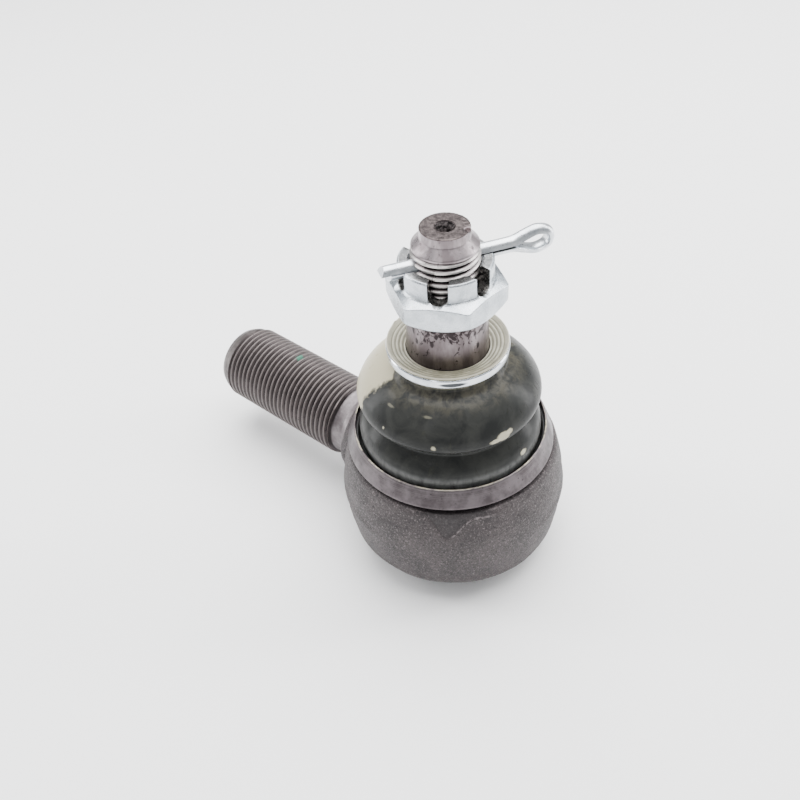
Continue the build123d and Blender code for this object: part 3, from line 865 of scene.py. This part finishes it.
def dust_boot():
    """Bellows with a ribbed lip, softly uneven, and a small torn flap on the lip."""
    def uneven(radius, angle, height):
        """Slow waves in the lobes, and the flap's lift on the lip."""
        where = Vector((math.cos(angle) * 1.6, math.sin(angle) * 1.6, height * 0.12))
        grow = noise.noise(where) * 0.10 - 0.05 if 15.5 < height < 37 else 0
        flap = 0.32 * math.exp(-((angle - FLAP_ANGLE) / 0.035) ** 2) * smoothstep(12.4, 13.0, radius)
        return radius + grow, height + flap * (height > 41.4)

    piece = turned("bellows", resampled(boot_outline(), 0.9), 180, warp=uneven)
    rest = piece.data.attributes.new("rest_place", "FLOAT_VECTOR", "POINT")
    for vertex, value in zip(piece.data.vertices, rest.data):
        value.vector = vertex.co
    piece.data.materials.append(boot_finish())
    piece.data.shade_smooth()
    piece.data.set_sharp_from_angle(angle=math.radians(60))
    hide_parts("dust_boot")
    bend(piece)


def bend(piece):
    """Bake a piece's placement into its mesh."""
    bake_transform(piece)


def grease():
    """Layer of grease that lines the bellows."""
    lobes = [(r, z - 0.25) for r, z in boot_lobes() if 16.0 < z < 35.5]
    outside = [(r - 1.45, z) for r, z in lobes]
    inside = [(r - 2.2, z) for r, z in lobes]
    piece = turned("grease_layer", outside + inside[::-1], 120)
    look = plain_finish("grease", (0.03, 0.034, 0.034), (0.07, 0.075, 0.072), 0.4, roughness=0.25)
    piece.data.materials.append(look)
    piece.data.shade_smooth()
    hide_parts("grease_fill")
    bend(piece)


def top_ring():
    """Bright rolled band clamped round the boot's neck."""
    corners = [(12.36, 38.97, 0.1), (12.6, 38.95, 0.15), (13.2, 39.55, 0.5), (13.22, 41.25, 0.2),
               (13.05, 41.45, 0.1), (12.36, 41.45, 0.1)]
    piece = turned("top_band", rounded(corners, 6, closed=True), 180)
    dress(piece, LEAN, ring_finish(), ["boot_top_ring"], 60)


def snap_ring():
    """Black sprung ring that holds the boot's foot in the pocket."""
    corners = [(20.9, 15.4, 0.25), (21.2, 15.15, 0.2), (21.95, 15.2, 0.15), (21.95, 16.8, 0.15),
               (21.2, 16.85, 0.2), (20.9, 16.6, 0.25)]
    piece = turned("snap_ring", rounded(corners, 4, closed=True), 200)
    look = plain_finish("black_ring", (0.006, 0.006, 0.007), (0.016, 0.015, 0.015), 1.2, roughness=0.55)
    dress(piece, HOUSING, look, ["boot_snap_ring"], 60)


# ------------ stud, nut and pin

def sawn(radius, angle, height):
    """Rough end face of the stud with a nick in its edge, as a warp for add_lathe."""
    if height < 69.0 or radius < 1.2:
        return radius, height
    where = polar(math.degrees(angle), radius, 0)
    rough = noise.noise(where * 0.9) * 0.07 + noise.noise(where * 2.5) * 0.05
    nick = math.exp(-((where - polar(STUD_NICK_AZIMUTH, 4.75, 0)).length / 0.75) ** 2)
    return radius - 0.02, height - 0.05 - abs(rough) - nick * 0.75


def ball_stud():
    """Ball, waisted neck, taper, M14 thread and turned point, drilled for the pin."""
    low, high = 52.3, 65.35
    ball_radius, neck_radius = 12.5, 7.2
    junction = math.degrees(math.acos(neck_radius / ball_radius))
    ball = arc((0, 0), ball_radius, -90, junction, 32)
    neck = [(neck_radius, 12.0), (neck_radius, 15.5), (8.2, 19.5), (9.25, 23.5), (9.575, 26.5)]
    taper = rounded([(9.575, 26.5, 0), (8.3, 51.75, 0.25), (8.1, 52.0, 0.1), (6.6, low, 0)])
    point = rounded([(6.55, high, 0), (6.85, 65.6, 0.1), (6.85, 66.0, 0.5), (5.1, 67.75, 0.35),
                     (5.1, 69.7, 0.12), (4.9, 69.8, 0), (2.15, 69.8, 0.1), (0.95, 67.7, 0), (0.95, 66.0, 0),
                     (0, 65.8, 0)])
    bm = bmesh.new()
    add_lathe(bm, resampled(ball + smooth_curve(neck, 6) + taper, 1.0))
    add_thread(bm, STUD_RADIUS, low, high, 6.6, 6.55, 0.5)
    add_lathe(bm, resampled(point, 0.3), warp=sawn)
    piece = mesh_object("stud", bm)
    bar = [(0, -12), (1.8, -12), (1.8, 12), (0, 12)]
    cut_out(piece, turned("drill", bar, 48, closed=False, matrix=PIN_PLACE @ ALONG_X))
    piece.data.transform(TO_FRAME)
    dress(piece, STUD, stud_finish(), ["ball_stud"], 40)


def nut_columns():
    """Azimuths for the nut's mesh, closest together at the six corners."""
    steps = 24
    spread = [30.0 * math.sin((step / steps * 2 - 1) * math.pi / 2) for step in range(steps)]
    return [side * 60 + offset for side in range(6) for offset in spread]


def nut_outline(azimuth):
    """Half section of the nut at one azimuth, all the way round its closed outline."""
    from_flat = (azimuth + 30) % 60 - 30
    corner = NUT_FLATS / math.cos(math.radians(30))
    side = NUT_FLATS / math.cos(math.radians(from_flat))
    side = min(side, corner - 0.22 * smoothstep(27.0, 30.0, abs(from_flat)))
    foot = NUT_BASE + 0.12 + (side - 10.6) * 0.72
    chamfer = NUT_HEX_TOP - 0.08 - (side - 10.3) * 0.36
    crown = NUT_CASTLE_RADIUS
    corners = [(7.5, NUT_BASE, 0.2), (10.5, NUT_BASE, 0.25), (side, foot, 0.3), (side, chamfer, 0.25),
               (crown + 0.45, NUT_HEX_TOP, 0.35), (crown, NUT_HEX_TOP + 0.35, 0.4),
               (crown, NUT_TOP - 0.3, 0.2), (crown - 0.3, NUT_TOP, 0.2),
               (7.6, NUT_TOP, 0.2), (7.1, NUT_TOP - 0.5, 0.1), (7.1, NUT_BASE + 0.4, 0.1)]
    return rounded(corners, 4, closed=True)


def slot_tool(azimuth):
    """Round-ended bar through the crown, which cuts two opposite slots."""
    half = NUT_SLOT_HALF
    bottom = arc((0, NUT_SLOT_TIP + half), half, 180, 360, 16)
    section = [(-half, NUT_TOP + 1), *bottom, (half, NUT_TOP + 1)]
    bm = bmesh.new()
    front = [bm.verts.new((-15, y, z)) for y, z in section]
    back = [bm.verts.new((15, y, z)) for y, z in section]
    bm.faces.new(front)
    bm.faces.new(back[::-1])
    for step in range(len(section)):
        after = (step + 1) % len(section)
        bm.faces.new((front[step], back[step], back[after], front[after]))
    return mesh_object("slot_tool", bm, Matrix.Rotation(math.radians(azimuth), 4, "Z"))


def castle_nut():
    """Thin castle nut: chamfered hexagon, slotted crown and a bore with painted shade."""
    bm = bmesh.new()
    columns = []
    for azimuth in nut_columns():
        columns.append([bm.verts.new(polar(azimuth, r, z)) for r, z in nut_outline(azimuth)])
    for here, after in zip(columns, columns[1:] + columns[:1]):
        count = len(here)
        for row in range(count):
            following = (row + 1) % count
            bm.faces.new((here[row], after[row], after[following], here[following]))
    piece = mesh_object("nut", bm)
    for azimuth in (0, 60, 120):
        cut_out(piece, slot_tool(azimuth))
    bevel = piece.modifiers.new("edges", "BEVEL")
    bevel.limit_method = "ANGLE"
    bevel.angle_limit = math.radians(50)
    bevel.width = 0.14
    bevel.segments = 2
    bevel.use_clamp_overlap = False
    apply_modifiers(piece)
    piece.data.transform(TO_FRAME @ PIN_TURN)
    dress(piece, STUD, nut_finish(), ["castle_nut"], 40)


def pin_path():
    """Inner edge of the wire as (along, height) points: out along one leg, round the eye and back."""
    slit = 0.13
    eye = smooth_curve([(12.0, slit), (14.5, 0.25), (16.9, 1.05), (19.3, 1.72), (21.3, 1.15), (21.8, 0.0)], 8)
    upper = [(-13.7, slit), (-8.0, slit), (-2.0, slit), (4.0, slit), (8.0, slit)] + eye
    lower = [(x, -z) for x, z in upper[-2:0:-1]] + [(-11.6, -slit)]
    return upper + lower


def wire_section():
    """Half disc of the wire as (across, outward), its two sharp corners taken off."""
    radius = 1.55
    angles = [math.pi * step / 16 for step in range(17)]
    section = [(radius * 0.96 * math.cos(angle), radius * math.sin(angle)) for angle in angles]
    section[0] = (radius * 0.9, 0.0)
    section[-1] = (-radius * 0.9, 0.0)
    section.insert(1, (radius * 0.985, 0.14))
    section.insert(-1, (-radius * 0.985, 0.14))
    return section


def split_pin():
    """Half-round wire folded on itself, its tips cut off at a slant."""
    path = pin_path()
    section = wire_section()
    slants = {0: 0.55, len(path) - 1: 0.4}
    bm = bmesh.new()
    rings = []
    for index, (x, z) in enumerate(path):
        ahead = path[min(index + 1, len(path) - 1)]
        behind = path[max(index - 1, 0)]
        along = Vector((ahead[0] - behind[0], 0, ahead[1] - behind[1])).normalized()
        outward = Vector((-along.z, 0, along.x))
        slant = slants.get(index, 0.0)
        ring = []
        for across, out in section:
            ring.append(bm.verts.new(Vector((x, across, z)) + outward * out + along * out * slant))
        rings.append(ring)
    for low, high in zip(rings, rings[1:]):
        for step in range(len(section)):
            after = (step + 1) % len(section)
            bm.faces.new((low[step], low[after], high[after], high[step]))
    bm.faces.new(rings[0][::-1])
    bm.faces.new(rings[-1])
    piece = mesh_object("cotter", bm, TO_FRAME @ PIN_PLACE)
    dress(piece, STUD, pin_finish(), ["split_pin"], 50)


# ------------ inner parts, stage, lights and camera

def inner_parts():
    """Finishes of the CAD parts that stay as they are inside the joint."""
    spring = plain_finish("spring_steel", (0.10, 0.10, 0.11), (0.2, 0.2, 0.21), 0.8,
                          metallic=0.9, roughness=0.3)
    seat = plain_finish("seat_plastic", (0.70, 0.69, 0.64), (0.80, 0.79, 0.74), 0.5, roughness=0.5)
    looks = (("preload_spring", spring), ("lower_ball_seat", seat), ("upper_ball_seat", seat))
    for node, look in looks:
        part = frame["nodes"][node]
        part.data.materials.clear()
        part.data.materials.append(look)


def stage():
    """Pale floor that the part stands on."""
    bm = bmesh.new()
    bmesh.ops.create_grid(bm, x_segments=1, y_segments=1, size=3.0)
    mesh = bpy.data.meshes.new("floor")
    bm.to_mesh(mesh)
    bm.free()
    floor = bpy.data.objects.new("floor", mesh)
    bpy.context.scene.collection.objects.link(floor)
    look = Finish("floor", roughness=0.9)
    look.colour((0.93, 0.93, 0.93, 1))
    mesh.materials.append(look.material)


def area_light(name, azimuth, elevation, distance, size, watts):
    """Soft rectangular light aimed at the part."""
    light = bpy.data.lights.new(name, "AREA")
    light.shape = "RECTANGLE"
    light.size, light.size_y = size
    light.energy = watts
    lamp = bpy.data.objects.new(name, light)
    target = Vector((0.01, 0, 0.04))
    away = polar(azimuth, math.cos(math.radians(elevation)), math.sin(math.radians(elevation)))
    lamp.location = target + away * distance
    lamp.rotation_mode = "QUATERNION"
    lamp.rotation_quaternion = away.to_track_quat("Z", "Y")
    bpy.context.scene.collection.objects.link(lamp)


def lights():
    """Even pale surroundings, a large light overhead, a soft one at each side and a strip in front."""
    world = bpy.data.worlds.new("studio")
    bpy.context.scene.world = world
    world.use_nodes = True
    background = world.node_tree.nodes["Background"]
    background.inputs[0].default_value = (0.95, 0.97, 1.0, 1)
    background.inputs[1].default_value = 0.5
    area_light("overhead", VIEW_AZIMUTH + 160, 72, 0.70, (0.9, 0.9), 22.0)
    area_light("left_soft", VIEW_AZIMUTH - 105, 20, 0.55, (0.12, 0.5), 2.6)
    area_light("right_soft", VIEW_AZIMUTH + 100, 20, 0.55, (0.12, 0.5), 2.6)
    area_light("front_strip", VIEW_AZIMUTH - 30, 48, 0.8, (0.10, 0.5), 0.9)


def camera():
    """View from above the side away from the shank, rolled a little."""
    elevation, roll = math.radians(42.5), math.radians(-3.9)
    back = polar(VIEW_AZIMUTH, math.cos(elevation), math.sin(elevation))
    right = Vector((0, 0, 1)).cross(back).normalized()
    above = back.cross(right)
    lens = bpy.data.cameras.new("view")
    lens.sensor_width = 36
    lens.lens = 42.36
    lens.shift_x = -0.0084
    lens.shift_y = -0.0072
    lens.clip_start = 0.01
    viewer = bpy.data.objects.new("view", lens)
    distance, sideways, upward = 227.3, -9.44, 19.75
    where = BALL_CENTRE + (back * distance + right * sideways + above * upward) * MM
    turned_right = right * math.cos(roll) + above * math.sin(roll)
    turned_up = above * math.cos(roll) - right * math.sin(roll)
    rotation = Matrix((turned_right, turned_up, back)).transposed()
    viewer.matrix_world = Matrix.Translation(where) @ rotation.to_4x4()
    bpy.context.scene.collection.objects.link(viewer)
    bpy.context.scene.camera = viewer


forging()
rim()
shank()
bottom_lip()
cover()
dust_boot()
grease()
top_ring()
snap_ring()
ball_stud()
castle_nut()
split_pin()
inner_parts()
stage()
lights()
camera()
